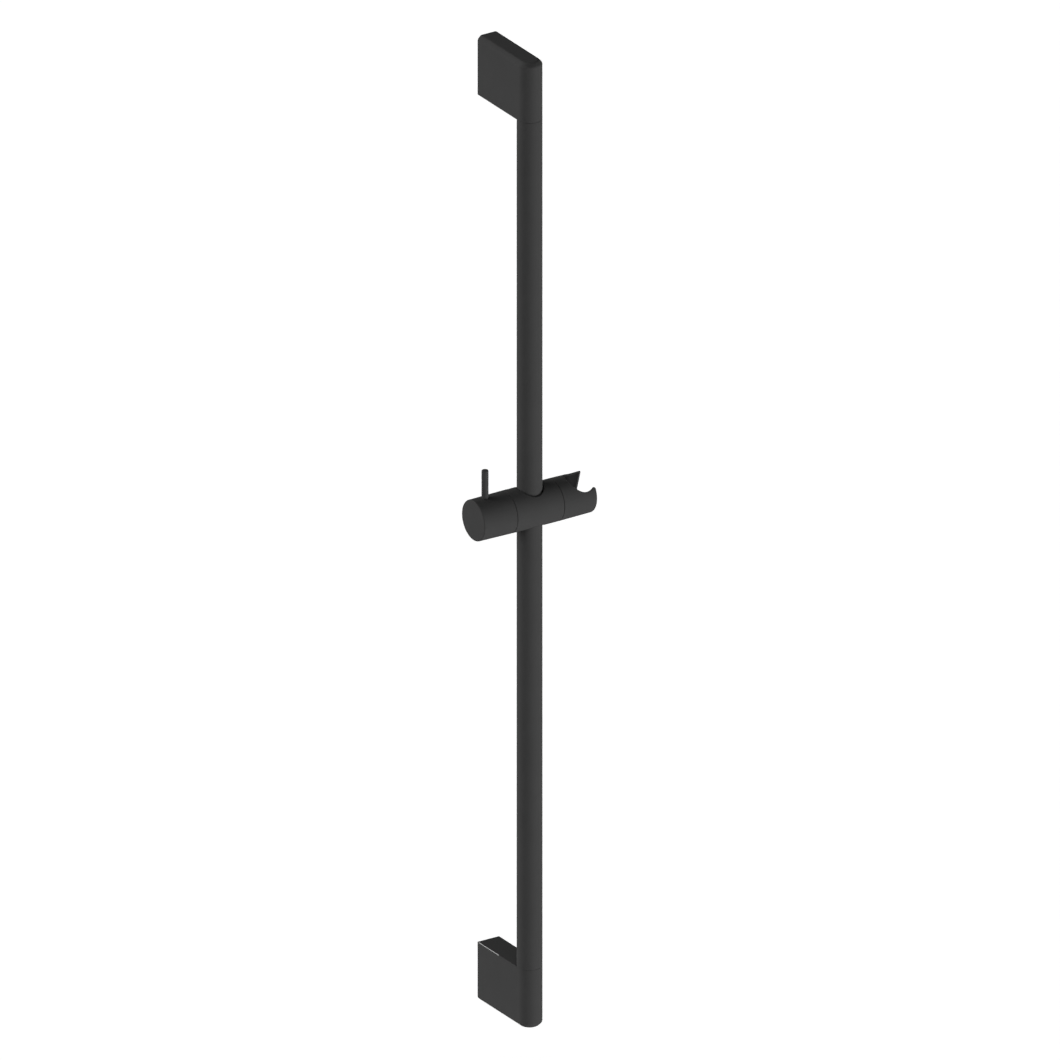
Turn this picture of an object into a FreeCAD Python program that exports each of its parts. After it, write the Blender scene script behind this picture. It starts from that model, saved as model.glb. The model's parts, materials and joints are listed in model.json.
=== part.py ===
"""Shower slide rail: a round rail between two wall brackets, with a clamping slider and a handset holder.

The wall is the plane Y = 0, the room is on the -Y side, Z is up and the origin is on the wall, midway
between the two fixing screws. Lengths are millimetres.
"""

import FreeCAD
import Part

import math
import os

Vector = FreeCAD.Vector

# Overall sizes
overall_height = 900.0      # top of the upper bracket to the underside of the lower one
rail_diameter = 22.0
rail_wall = 1.5
wall_distance = 65.0        # wall to the axis of the rail
slider_height = 33.3        # axis of the slider above the origin, where it is stored

# Brackets: hollow castings, open at the wall, each with a spigot that carries the rail
bracket_height = 55.0
bracket_side_wall = 2.5
bracket_end_wall = 5.0
bracket_end_bevel = 3.3     # bevels the closed end of the bracket, away from the rail
edge_break = 0.35           # fine chamfer that shows as the seam between bracket and rail
spigot_length = 18.0
spigot_clearance = 0.15
spigot_core_wall = 3.8
spigot_lead_in = 1.0

# Square sealing ring in a groove round each spigot
ring_section = 1.9
ring_clearance = 0.05
ring_groove_place = 9.0     # middle of the groove, from the end of the rail

# Wall anchors: blocks screwed to the wall, over which the brackets slide
anchor_depth = 12.0
anchor_clearance = 0.15
wall_screw_hole = 5.5
wall_screw_head = 10.5

# Grub screws that lock the brackets on the anchors, from below
grub_diameter = 5.0
grub_clearance = 0.05
grub_length = 7.6
grub_recess = 0.8           # the screw's end lies this far inside the bracket
grub_point = 1.4
grub_point_diameter = 2.2
grub_socket = 2.5           # across the flats of the hexagon
grub_socket_depth = 2.5
grub_tip_room = 0.15        # point of the screw to the bottom of its hole in the anchor

# Slider body
rail_gap = 1.0              # rail to the bore of the slider body
slider_front_wall = 6.75    # slider body in front of the rail's bore
body_half_length = 23.5     # middle of the slider to each seam
seam_gap = 0.3
seam_lip = 1.1              # wall of knob and holder round what closes each seam from inside
rim_chamfer = 0.4           # softens the edge where the rail enters the body

# Split bushes that run on the rail, held in grooves of the slider body
bush_height = 3.8
bush_wall = 1.9
bush_rail_clearance = 0.1
bush_groove_clearance = 0.06
bush_end_play = 0.1
bush_rim_wall = 2.0         # body left between the groove and the saddle
bush_split = 1.5

# Brake: a pad on a guided nut, drawn to and from the rail by the spindle
pad_gap = 0.1
pad_thickness = 3.1
pad_half_width = 7.0
pad_bush_room = 2.0         # pad to bush groove, above and below
nut_length = 5.2
brake_clearance = 0.1
thread_lead = 3.0           # advance for one turn of the spindle
knob_range_deg = 90.0       # from clamped to released
shoulder_room = 0.75
thread_clearance = 0.05

# Spindle, its washer and the ring that keeps it in the body
spindle_thread_diameter = 8.0
spindle_tip_room = 1.3      # nut's front face to the end of the spindle
flange_diameter = 16.8
flange_thickness = 3.0
flange_clearance = 0.2
stack_play = 0.05
washer_thickness = 1.0
gland_length = 4.3
gland_clearance = 0.05
gland_slot = 2.0
gland_slot_depth = 1.5
spindle_shaft_diameter = 10.0
spindle_end_play = 0.5
spindle_flat = 0.7          # depth of the flat under the lever

# Neck of the body that the knob turns on, and the low collar at its foot that closes the seam
neck_diameter = 24.0
neck_clearance = 0.08
neck_end_room = 0.7
collar_length = 1.2
collar_end_room = 0.2

# Knob and lever
knob_length = 33.2
end_taper = 0.45            # how much the radius falls from seam to end, on knob and holder
end_chamfer = 0.75
lever_diameter = 6.0
lever_place = 12.0          # lever's axis from the outer end of the knob
lever_reach = 44.4          # end of the lever from the slider's axis
lever_chamfer = 0.5
lever_clearance = 0.04
shaft_past_lever = 4.5

# Holder: a round block with a leaning conical seat that breaks out of its end
holder_length = 33.2
seat_end_distance = 9.25    # axis of the seat from the outer end of the holder
seat_diameter = 24.8        # where the seat's axis passes the slider's axis
seat_half_angle_deg = 2.5
seat_lean_deg = 19.7        # upper end of the seat leans away from the wall
seat_set_back = 1.0         # seat's axis behind the slider's axis
lip_radius = 1.8            # rounds the two lips where the seat breaks out of the end

# Holder pivot: a stub on the body, a screw, a cupped spring washer and a friction washer
stub_diameter = 16.0
stub_length = 5.0
stub_clearance = 0.06
stub_end_room = 0.3
pivot_screw_diameter = 6.0
pivot_screw_bite = 10.0     # screw thread in the slider body, to the seam
pivot_screw_clearance = 0.3
pivot_head_diameter = 10.0
pivot_head_height = 3.6
pivot_head_clearance = 0.5
pivot_socket = 4.0
pivot_socket_depth = 2.2
pivot_floor = 1.3           # holder left between the stub and the screw's head
spring_washer_height = 0.8
spring_washer_sheet = 0.5
friction_washer_thickness = 1.0
friction_washer_clearance = 0.1

# Values that follow from the sizes above
rail_radius = rail_diameter / 2
rail_bore_radius = rail_radius - rail_wall
rail_half_length = overall_height / 2 - bracket_height
spigot_radius = rail_bore_radius - spigot_clearance
ring_outer_radius = rail_bore_radius - ring_clearance
ring_inner_radius = ring_outer_radius - ring_section
ring_groove_radius = ring_inner_radius - ring_clearance

body_bore_radius = rail_radius + rail_gap
body_radius = body_bore_radius + slider_front_wall
end_radius = body_radius - end_taper
seam = body_half_length + seam_gap
knob_end = seam + knob_length
holder_end = seam + holder_length
recess_radius = body_radius - seam_lip

bush_inner_radius = rail_radius + bush_rail_clearance
bush_outer_radius = bush_inner_radius + bush_wall
bush_groove_radius = bush_outer_radius + bush_groove_clearance
bush_groove_top = math.sqrt(body_radius ** 2 - bush_groove_radius ** 2) - bush_rim_wall
bush_groove_bottom = bush_groove_top - bush_height - 2 * bush_end_play

pad_half_height = bush_groove_bottom - pad_bush_room
brake_travel = thread_lead * knob_range_deg / 360.0
nut_front = rail_radius + pad_gap + pad_thickness
nut_back = nut_front + nut_length
shoulder = nut_back + brake_travel + shoulder_room
washer_back = shoulder + stack_play + washer_thickness
flange_front = washer_back + stack_play
flange_back = flange_front + flange_thickness
gland_front = flange_back + 2 * stack_play
neck_end = gland_front + gland_length
flange_bore_radius = flange_diameter / 2 + flange_clearance
knob_recess_end = neck_end + neck_end_room
collar_end = body_half_length + collar_length
lever_x = knob_end - lever_place
shaft_end = lever_x + shaft_past_lever
shaft_radius = spindle_shaft_diameter / 2
flat_height = shaft_radius - spindle_flat

stub_end = body_half_length + stub_length
head_floor = stub_end + stub_end_room + pivot_floor
head_front = head_floor + spring_washer_height
head_back = head_front + pivot_head_height
screw_tip = body_half_length - pivot_screw_bite
friction_recess = body_half_length + friction_washer_thickness + 2 * stack_play
seat_x = holder_end - seat_end_distance

SAME_PLACE = 1e-6           # two coordinates this close are one
SLIDER_PLACE = Vector(0, -wall_distance, slider_height)


def x_cylinder(radius, start, end):
    """Cylinder about the slider's own axis."""
    return Part.makeCylinder(radius, end - start, Vector(start, 0, 0), Vector(1, 0, 0))


def z_cylinder(radius, bottom, top, x=0.0, y=0.0):
    """Upright cylinder."""
    return Part.makeCylinder(radius, top - bottom, Vector(x, y, bottom))


def x_cone(start_radius, end_radius, start, end):
    """Tapered cylinder about the slider's own axis."""
    return Part.makeCone(start_radius, end_radius, end - start, Vector(start, 0, 0), Vector(1, 0, 0))


def box(low, high):
    """Box between two corners."""
    size = [b - a for a, b in zip(low, high)]
    return Part.makeBox(*size, Vector(*low))


def hexagon_prism(across_flats, base, direction, depth):
    """Hexagonal prism for a key socket."""
    radius = across_flats / math.sqrt(3)
    corners = [
        Vector(radius * math.cos(math.radians(60 * k)), radius * math.sin(math.radians(60 * k)), 0)
        for k in range(7)
    ]
    prism = Part.Face(Part.makePolygon(corners)).extrude(Vector(0, 0, depth))
    prism.Placement = FreeCAD.Placement(base, FreeCAD.Rotation(Vector(0, 0, 1), direction))
    return prism


def edges_at_height(shape, height):
    """Edges that lie wholly in one horizontal plane."""
    return [e for e in shape.Edges if all(abs(v.Z - height) < SAME_PLACE for v in e.Vertexes)]


def edges_at_end(edges, end):
    """Those of the edges that lie wholly in one plane square to the slider's axis."""
    return [e for e in edges if all(abs(v.X - end) < SAME_PLACE for v in e.Vertexes)]


def faces_across(shape, kind):
    """Round faces of one kind whose axis lies across the slider's."""
    round_faces = [f for f in shape.Faces if isinstance(f.Surface, kind)]
    return [f for f in round_faces if abs(f.Surface.Axis.x) < SAME_PLACE]


def tapered_outside(shape):
    """Faces of the taper about the slider's own axis."""
    tapers = [f for f in shape.Faces if isinstance(f.Surface, Part.Cone)]
    return [f for f in tapers if abs(f.Surface.Axis.x) > 1 - SAME_PLACE]


def bracket_plan(half_width):
    """Plan of a bracket: flat sides from the wall, closed by a half round about the rail's axis."""
    back_left = Vector(-half_width, 0, 0)
    front_left = Vector(-half_width, -wall_distance, 0)
    nose = Vector(0, -wall_distance - half_width, 0)
    front_right = Vector(half_width, -wall_distance, 0)
    back_right = Vector(half_width, 0, 0)
    edges = [
        Part.makeLine(back_left, front_left),
        Part.Arc(front_left, nose, front_right).toShape(),
        Part.makeLine(front_right, back_right),
        Part.makeLine(back_right, back_left),
    ]
    return Part.Face(Part.Wire(edges))


def along_wall(edge):
    """True for an edge that lies on the wall's plane."""
    return all(abs(v.Y) < SAME_PLACE for v in edge.Vertexes)


def bracket_casting():
    """Bracket standing on the end of the rail, with the rail's end at Z = 0 and the closed end up."""
    outer = bracket_plan(rail_radius).extrude(Vector(0, 0, bracket_height))
    closed_rim = [e for e in edges_at_height(outer, bracket_height) if not along_wall(e)]
    outer = outer.makeChamfer(bracket_end_bevel, closed_rim)
    rail_rim = [e for e in edges_at_height(outer, 0) if not along_wall(e)]
    outer = outer.makeChamfer(edge_break, rail_rim)

    cavity_height = bracket_height - 2 * bracket_end_wall
    cavity = bracket_plan(rail_radius - bracket_side_wall).extrude(Vector(0, 0, cavity_height))
    cavity.translate(Vector(0, 0, bracket_end_wall))

    spigot = z_cylinder(spigot_radius, -spigot_length, bracket_end_wall)
    spigot = spigot.makeChamfer(spigot_lead_in, edges_at_height(spigot, -spigot_length))
    core_radius = spigot_radius - spigot_core_wall
    core = z_cylinder(core_radius, -spigot_length + spigot_core_wall, bracket_end_wall)
    groove_half = ring_section / 2 + ring_clearance
    groove = z_cylinder(rail_bore_radius, -ring_groove_place - groove_half, -ring_groove_place + groove_half)
    groove = groove.cut(z_cylinder(ring_groove_radius, -spigot_length, 0))
    for shape in (spigot, core, groove):
        shape.translate(Vector(0, -wall_distance, 0))
    return outer.cut(cavity).fuse(spigot).cut(core).cut(groove)


def wall_anchor():
    """Anchor block in the bracket's cavity, flush with the wall, with its countersunk screw hole."""
    half_width = rail_radius - bracket_side_wall - anchor_clearance
    half_height = bracket_height / 2 - bracket_end_wall - anchor_clearance
    middle = bracket_height / 2
    block = box((-half_width, -anchor_depth, middle - half_height), (half_width, 0, middle + half_height))
    hole_radius = wall_screw_hole / 2
    head_radius = wall_screw_head / 2
    away = Vector(0, 1, 0)
    hole = Part.makeCylinder(hole_radius, anchor_depth, Vector(0, -anchor_depth, middle), away)
    sink_depth = head_radius - hole_radius
    sink = Part.makeCone(head_radius, hole_radius, sink_depth, Vector(0, -anchor_depth, middle), away)
    return block.cut(hole).cut(sink)


def grub_screw():
    """Grub screw pointing up, its socket end at Z = 0."""
    radius = grub_diameter / 2
    shank = z_cylinder(radius, 0, grub_length - grub_point)
    point = Part.makeCone(radius, grub_point_diameter / 2, grub_point, Vector(0, 0, grub_length - grub_point))
    socket = hexagon_prism(grub_socket, Vector(0, 0, 0), Vector(0, 0, 1), grub_socket_depth)
    return shank.fuse(point).removeSplitter().cut(socket)


def sealing_ring():
    """Ring in the groove of a spigot."""
    low, high = -ring_groove_place - ring_section / 2, -ring_groove_place + ring_section / 2
    ring = z_cylinder(ring_outer_radius, low, high).cut(z_cylinder(ring_inner_radius, low, high))
    ring.translate(Vector(0, -wall_distance, 0))
    return ring


def bracket_set(end, turned):
    """Bracket, anchor, grub screw and ring of one end of the rail, as named solids.

    The lower bracket is the same casting turned over. Its grub screw is still driven from below.
    """
    casting = bracket_casting()
    anchor = wall_anchor()
    ring = sealing_ring()
    grub = grub_screw()
    for shape in (casting, anchor, ring):
        if turned:
            shape.rotate(Vector(0, 0, 0), Vector(0, 1, 0), 180)
        shape.translate(Vector(0, 0, -rail_half_length if turned else rail_half_length))

    underside = -overall_height / 2 if turned else rail_half_length
    grub_foot = Vector(0, -anchor_depth / 2, underside)
    drilling = z_cylinder(grub_diameter / 2 + grub_clearance, 0, bracket_end_wall)
    seat_top = grub_recess + grub_length + grub_tip_room
    seat = z_cylinder(grub_diameter / 2 + grub_clearance, bracket_end_wall, seat_top)
    for shape in (drilling, seat):
        shape.translate(grub_foot)
    grub.translate(grub_foot + Vector(0, 0, grub_recess))
    return {
        f"{end}_bracket": casting.cut(drilling),
        f"{end}_wall_anchor": anchor.cut(seat),
        f"{end}_anchor_grub_screw": grub,
        f"{end}_spigot_ring": ring,
    }


def rail_tube():
    """Plain round tube between the two brackets."""
    tube = z_cylinder(rail_radius, -rail_half_length, rail_half_length)
    tube = tube.cut(z_cylinder(rail_bore_radius, -rail_half_length, rail_half_length))
    tube.translate(Vector(0, -wall_distance, 0))
    return tube


def brake_section(clearance, start, end):
    """Guide section of the brake: a round bar along the slider's axis with flats above and below."""
    radius = pad_half_width + clearance
    half_height = pad_half_height + clearance
    flats = box((start, -radius, -half_height), (end, radius, half_height))
    return x_cylinder(radius, start, end).common(flats)


def slider_body():
    """Middle of the slider: rail bore, bush grooves, brake guide, neck for the knob, stub for the holder."""
    body = x_cylinder(body_radius, -body_half_length, body_half_length)
    body = body.cut(z_cylinder(body_bore_radius, -body_radius, body_radius))
    rims = [e for f in faces_across(body, Part.Cylinder) for e in f.Edges if e.Length > body_radius]
    body = body.makeChamfer(rim_chamfer, rims)
    for low in (bush_groove_bottom, -bush_groove_top):
        body = body.cut(z_cylinder(bush_groove_radius, low, low + bush_groove_top - bush_groove_bottom))
    body = body.fuse(x_cylinder(neck_diameter / 2, -neck_end, -body_half_length))
    body = body.fuse(x_cylinder(recess_radius - neck_clearance, -collar_end, -body_half_length))
    body = body.fuse(x_cylinder(stub_diameter / 2, body_half_length, stub_end))
    body = body.cut(brake_section(brake_clearance, -shoulder, 0))
    body = body.cut(x_cylinder(flange_bore_radius, -neck_end, -shoulder))
    thread_radius = pivot_screw_diameter / 2 + thread_clearance
    return body.cut(x_cylinder(thread_radius, screw_tip - stack_play, stub_end))


def slide_bush(sign):
    """Split ring in the upper or lower groove of the slider body."""
    middle = sign * (bush_groove_top + bush_groove_bottom) / 2
    low, high = middle - bush_height / 2, middle + bush_height / 2
    ring = z_cylinder(bush_outer_radius, low, high).cut(z_cylinder(bush_inner_radius, low, high))
    half_split = bush_split / 2
    return ring.cut(box((-half_split, 0, low), (half_split, bush_groove_radius, high)))


def brake_pad():
    """Pad hollowed to the rail."""
    pad = brake_section(0, -nut_front, 0)
    return pad.cut(z_cylinder(rail_radius + pad_gap, -body_radius, body_radius))


def brake_nut():
    """Guided nut behind the pad."""
    thread_radius = spindle_thread_diameter / 2 + thread_clearance
    return brake_section(0, -nut_back, -nut_front).cut(x_cylinder(thread_radius, -nut_back, -nut_front))


def clamp_spindle():
    """Spindle turned in one piece: thread, flange and the shaft that carries the knob."""
    thread = x_cylinder(spindle_thread_diameter / 2, -flange_front, -nut_front - spindle_tip_room)
    flange = x_cylinder(flange_diameter / 2, -flange_back, -flange_front)
    shaft = x_cylinder(shaft_radius, -shaft_end, -flange_back)
    flat_start = lever_x - lever_diameter
    flat = box((-shaft_end, -shaft_radius, flat_height), (-flat_start, shaft_radius, shaft_radius))
    return thread.fuse(flange).fuse(shaft).cut(flat)


def spindle_washer():
    """Sliding washer between the spindle's flange and the body."""
    start, end = -washer_back, -shoulder - stack_play
    hole = x_cylinder(spindle_thread_diameter / 2 + flange_clearance, start, end)
    return x_cylinder(flange_diameter / 2, start, end).cut(hole)


def spindle_gland():
    """Threaded ring that keeps the spindle in the body, with a slot across its face for a key."""
    ring = x_cylinder(flange_bore_radius - gland_clearance, -neck_end, -gland_front)
    ring = ring.cut(x_cylinder(shaft_radius + gland_clearance, -neck_end, -gland_front))
    half_slot = gland_slot / 2
    reach = flange_bore_radius
    slot = box((-neck_end, -reach, -half_slot), (-neck_end + gland_slot_depth, reach, half_slot))
    return ring.cut(slot)


def clamp_knob():
    """Knob that turns on the body's neck and drives the spindle."""
    knob = x_cone(end_radius, body_radius, -knob_end, -seam)
    knob = knob.makeChamfer(end_chamfer, edges_at_end(knob.Edges, -knob_end))
    knob = knob.cut(x_cylinder(recess_radius, -collar_end - collar_end_room, -seam))
    knob = knob.cut(x_cylinder(neck_diameter / 2 + neck_clearance, -knob_recess_end, -seam))
    shaft_bore_end = -shaft_end - spindle_end_play
    knob = knob.cut(x_cylinder(shaft_radius + gland_clearance, shaft_bore_end, -knob_recess_end))
    drilling = z_cylinder(lever_diameter / 2 + lever_clearance, 0, body_radius, x=-lever_x)
    return knob.cut(drilling)


def lever_pin():
    """Lever screwed through the knob on to the flat of the spindle."""
    pin = z_cylinder(lever_diameter / 2, flat_height + stack_play, lever_reach, x=-lever_x)
    return pin.makeChamfer(lever_chamfer, edges_at_height(pin, lever_reach))


def seat_cone():
    """Leaning cone of the handset seat, longer than the holder is thick."""
    lean = math.radians(seat_lean_deg)
    axis = Vector(0, -math.sin(lean), math.cos(lean))
    back = Vector(0, math.cos(lean), math.sin(lean))
    reach = 2 * body_radius
    spread = reach * math.tan(math.radians(seat_half_angle_deg))
    foot = Vector(seat_x, 0, 0) + back * seat_set_back - axis * reach
    return Part.makeCone(seat_diameter / 2 - spread, seat_diameter / 2 + spread, 2 * reach, foot, axis)


def handset_holder():
    """Holder with its conical seat, open at the end for the hose, and the bores of its pivot."""
    holder = x_cone(body_radius, end_radius, seam, holder_end).cut(seat_cone())
    seat_edges = [e for f in faces_across(holder, Part.Cone) for e in f.Edges]
    holder = holder.makeFillet(lip_radius, edges_at_end(seat_edges, holder_end))
    outer_edges = [e for f in tapered_outside(holder) for e in f.Edges if not e.isSeam(f)]
    seam_rim = edges_at_end(outer_edges, seam)
    rim = [e for e in outer_edges if not any(e.isSame(s) for s in seam_rim)]
    holder = holder.makeChamfer(end_chamfer, rim)
    ring_recess = x_cylinder(recess_radius, seam, friction_recess)
    stub_bore = x_cylinder(stub_diameter / 2 + stub_clearance, seam, stub_end + stub_end_room)
    screw_bore = x_cylinder(pivot_screw_diameter / 2 + pivot_screw_clearance, seam, head_floor)
    head_bore = x_cylinder(pivot_head_diameter / 2 + pivot_head_clearance, head_floor, seat_x)
    return holder.cut(ring_recess).cut(stub_bore).cut(screw_bore).cut(head_bore)


def pivot_screw():
    """Cap screw that the holder turns on, reached through the open seat."""
    shank = x_cylinder(pivot_screw_diameter / 2, screw_tip, head_front)
    head = x_cylinder(pivot_head_diameter / 2, head_front, head_back)
    socket_foot = Vector(head_back - pivot_socket_depth, 0, 0)
    socket = hexagon_prism(pivot_socket, socket_foot, Vector(1, 0, 0), pivot_socket_depth)
    return shank.fuse(head).cut(socket)


def spring_washer():
    """Cupped washer under the head of the pivot screw."""
    inner = pivot_screw_diameter / 2 + pivot_screw_clearance
    outer = pivot_head_diameter / 2
    low = head_floor + stack_play
    rise = spring_washer_height - spring_washer_sheet - 2 * stack_play
    corners = [
        Vector(low, outer, 0),
        Vector(low + spring_washer_sheet, outer, 0),
        Vector(low + spring_washer_sheet + rise, inner, 0),
        Vector(low + rise, inner, 0),
        Vector(low, outer, 0),
    ]
    return Part.Face(Part.makePolygon(corners)).revolve(Vector(0, 0, 0), Vector(1, 0, 0), 360)


def friction_washer():
    """Washer that holds the holder's angle, between it and the slider body."""
    start = body_half_length + stack_play
    end = start + friction_washer_thickness
    ring = x_cylinder(recess_radius - friction_washer_clearance, start, end)
    return ring.cut(x_cylinder(stub_diameter / 2 + friction_washer_clearance, start, end))


def slider_set():
    """Every piece of the slider, made about its own axis and moved to its place on the rail."""
    pieces = {
        "slider_body": slider_body(),
        "upper_slide_bush": slide_bush(1),
        "lower_slide_bush": slide_bush(-1),
        "brake_pad": brake_pad(),
        "brake_nut": brake_nut(),
        "clamp_spindle": clamp_spindle(),
        "spindle_washer": spindle_washer(),
        "spindle_gland": spindle_gland(),
        "clamp_knob": clamp_knob(),
        "lever_pin": lever_pin(),
        "handset_holder": handset_holder(),
        "holder_pivot_screw": pivot_screw(),
        "holder_spring_washer": spring_washer(),
        "holder_friction_washer": friction_washer(),
    }
    for shape in pieces.values():
        shape.translate(SLIDER_PLACE)
    return pieces


def main():
    """Builds every piece and writes one file for each."""
    os.makedirs("parts", exist_ok=True)
    pieces = {"rail_tube": rail_tube()}
    pieces.update(bracket_set("upper", turned=False))
    pieces.update(bracket_set("lower", turned=True))
    pieces.update(slider_set())
    for name, shape in pieces.items():
        solids = shape.Solids
        good = shape.isValid() and len(solids) == 1
        print(f"{name}: {len(solids)} solid, {shape.Volume / 1000:.2f} cm3{'' if good else ' CHECK THIS'}")
        solids[0].exportStep(f"parts/{name}.step")


main()
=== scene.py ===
"""Shower slide rail: the finish of every piece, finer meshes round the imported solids, and a pale studio.

Lengths are metres. The wall is the plane Y = 0 and Z is up, as in the frame.
"""

from __future__ import annotations

import itertools
import json
import logging
import math
from abc import ABC, abstractmethod
from collections.abc import Callable
from dataclasses import dataclass, replace
from enum import Enum
from typing import Any

import bmesh
import bpy
import numpy as np
from mathutils import Matrix, Vector

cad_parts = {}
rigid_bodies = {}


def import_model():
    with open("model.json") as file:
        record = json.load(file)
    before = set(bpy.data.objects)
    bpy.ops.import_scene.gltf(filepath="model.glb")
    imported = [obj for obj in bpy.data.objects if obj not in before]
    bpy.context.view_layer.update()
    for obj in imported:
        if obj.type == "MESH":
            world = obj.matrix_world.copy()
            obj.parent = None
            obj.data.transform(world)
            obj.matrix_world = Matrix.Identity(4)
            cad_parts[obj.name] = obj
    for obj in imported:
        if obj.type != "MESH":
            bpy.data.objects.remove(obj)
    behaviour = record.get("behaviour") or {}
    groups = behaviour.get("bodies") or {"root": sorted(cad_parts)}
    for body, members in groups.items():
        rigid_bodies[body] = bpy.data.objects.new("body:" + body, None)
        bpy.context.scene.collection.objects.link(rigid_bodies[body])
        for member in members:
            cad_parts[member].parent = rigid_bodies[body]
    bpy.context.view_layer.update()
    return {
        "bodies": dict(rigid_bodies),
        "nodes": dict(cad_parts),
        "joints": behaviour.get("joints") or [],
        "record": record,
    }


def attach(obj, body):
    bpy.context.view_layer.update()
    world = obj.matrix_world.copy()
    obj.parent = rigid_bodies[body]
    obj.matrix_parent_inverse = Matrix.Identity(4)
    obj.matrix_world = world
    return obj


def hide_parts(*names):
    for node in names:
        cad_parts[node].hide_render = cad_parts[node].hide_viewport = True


LOG = logging.getLogger("slide_rail")
MM = 0.001
WELD = 0.002 * MM
SHARP_DEG = 40.0
FLOAT = "NodeSocketFloat"
VECTOR = "NodeSocketVector"

Colour = tuple[float, float, float, float]
Direction = tuple[float, float, float]
Socket = bpy.types.NodeSocket
Tree = bpy.types.NodeTree

RIGHT: Direction = (1.0, 0.0, 0.0)
LEFT: Direction = (-1.0, 0.0, 0.0)
FORWARD: Direction = (0.0, -1.0, 0.0)
UP: Direction = (0.0, 0.0, 1.0)
DOWN: Direction = (0.0, 0.0, -1.0)
MIDDLE: Direction = (0.0, 0.0, 0.0)


def grey(level: float) -> Colour:
    """Neutral opaque colour of this linear level."""
    return (level, level, level, 1.0)


WHITE = grey(1.0)


class ShaderTree:
    """Adds nodes to one shader tree, with their settings, values and links."""

    def __init__(self, tree: Tree) -> None:
        """Keeps the tree that nodes go into."""
        self.tree = tree

    def add(self, kind: str, inputs: dict[Any, Any] | None = None, **settings: Any) -> bpy.types.Node:
        """Adds one node.

        Args:
            kind: The node's type.
            inputs: Socket name or number to a value, or to the output socket that feeds it.
            settings: The node's own properties.

        Returns:
            The new node.
        """
        node = self.tree.nodes.new(kind)
        for name, value in settings.items():
            setattr(node, name, value)
        for name, value in (inputs or {}).items():
            if isinstance(value, Socket):
                self.tree.links.new(value, node.inputs[name])
            else:
                node.inputs[name].default_value = value
        return node

    def math(self, operation: str, first: Any, second: Any = 0.0) -> Socket:
        """Adds a Math node and returns its value."""
        return self.add("ShaderNodeMath", {0: first, 1: second}, operation=operation).outputs[0]

    def vector_math(self, operation: str, first: Any, second: Any) -> bpy.types.Node:
        """Adds a Vector Math node."""
        return self.add("ShaderNodeVectorMath", {0: first, 1: second}, operation=operation)

    def ramp(self, mask: Socket, tones: tuple[Colour, Colour]) -> Socket:
        """Adds a colour ramp from a dark to a light tone and returns its colour."""
        node = self.add("ShaderNodeValToRGB", {"Fac": mask})
        for element, tone in zip(node.color_ramp.elements, tones):
            element.color = tone
        return node.outputs["Color"]

    def place(self) -> Socket:
        """Place on the piece, in the piece's own space."""
        return self.add("ShaderNodeTexCoord").outputs["Object"]


def new_group(name: str, inputs: dict[str, str], output: str) -> tuple[ShaderTree, bpy.types.Node]:
    """Makes an empty shader node group with named sockets.

    Args:
        name: The group's name.
        inputs: Input names and their socket types.
        output: Name of the one output, which is a value.

    Returns:
        The group's tree and its input node.
    """
    group = bpy.data.node_groups.new(name, "ShaderNodeTree")
    for socket, kind in inputs.items():
        group.interface.new_socket(socket, in_out="INPUT", socket_type=kind)
    group.interface.new_socket(output, in_out="OUTPUT", socket_type=FLOAT)
    shader = ShaderTree(group)
    return shader, shader.add("NodeGroupInput")


def new_material(name: str) -> tuple[bpy.types.Material, ShaderTree]:
    """Makes an empty node material and gives its tree."""
    material = bpy.data.materials.new(name)
    material.use_nodes = True
    material.node_tree.nodes.clear()
    return material, ShaderTree(material.node_tree)


class Making(Enum):
    """How a surface was made, which sets the fine marks that it carries."""

    GRAINED = "grained"
    TURNED = "turned"


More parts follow.
